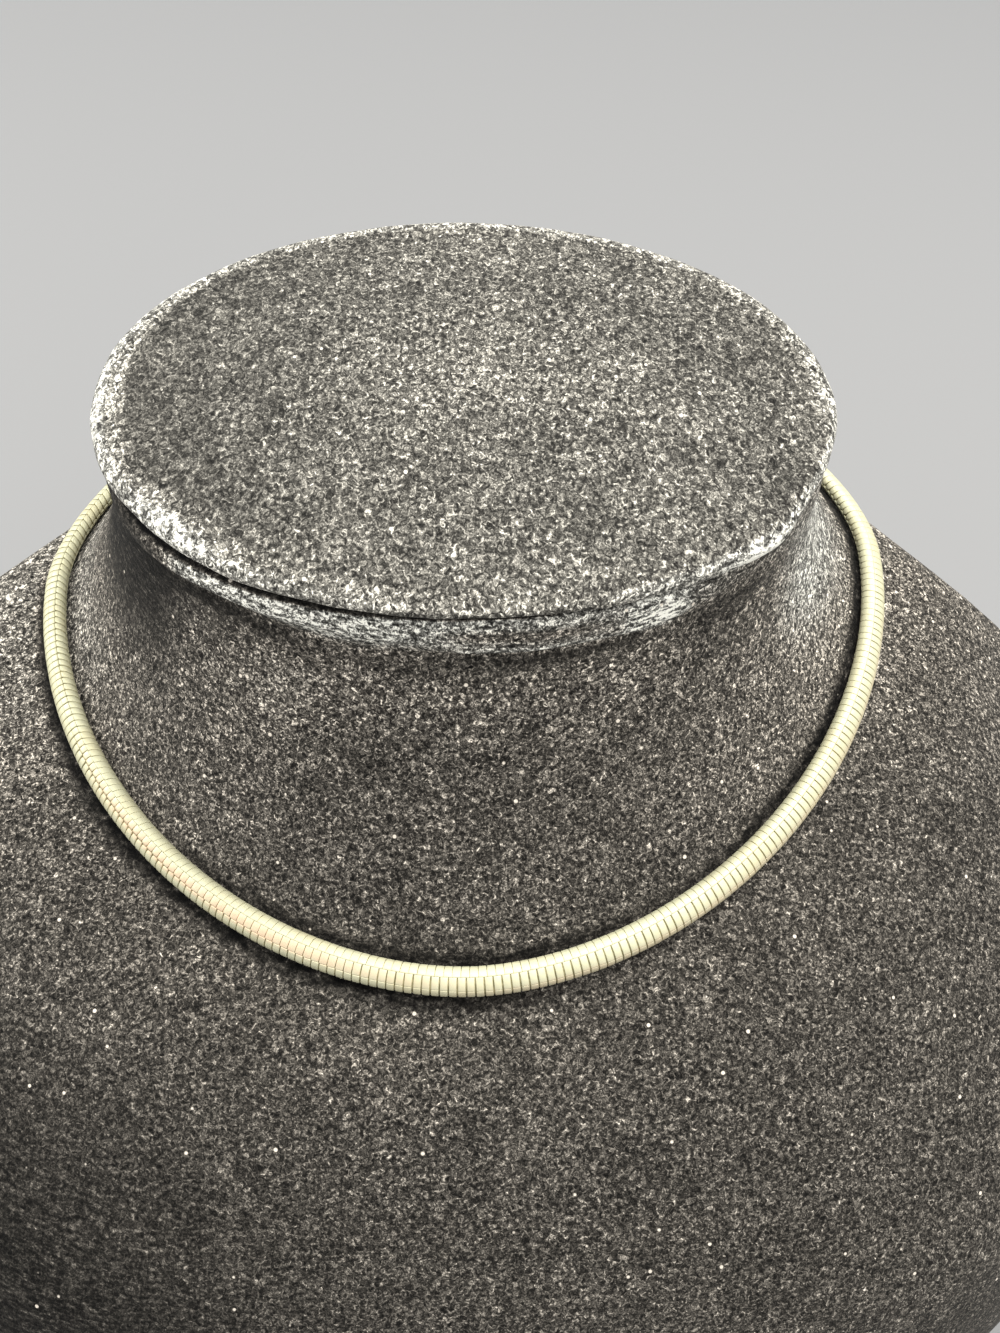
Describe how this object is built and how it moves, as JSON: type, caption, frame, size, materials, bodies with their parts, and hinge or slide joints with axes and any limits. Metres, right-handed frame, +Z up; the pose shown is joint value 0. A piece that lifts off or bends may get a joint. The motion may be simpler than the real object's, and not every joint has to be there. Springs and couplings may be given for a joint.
{
  "type": "herringbone choker on neck bust",
  "caption": "Domed herringbone band choker, a closed loop with a plain clasp at the back, lying on a velvet-covered neck bust with an oval neck cap.",
  "frame": {"origin": "point of the bust's flat foot straight below the axis of the neck", "axes": "+Z up, -Y towards the front of the chest, +X towards the wearer's left, which is the viewer's right from the front"},
  "size_m": [0.2222, 0.1632, 0.1642],
  "materials": {
    "bust_velvet": "charcoal velvet",
    "cap_velvet": "charcoal velvet, brushed nap",
    "chain_gold": "polished pale gold",
    "clasp_gold": "polished pale gold"
  },
  "bodies": {
    "root": {"bust_body": "bust_velvet", "neck_cap": "cap_velvet", "chain": "chain_gold", "clasp": "clasp_gold"}
  },
  "joints": []
}
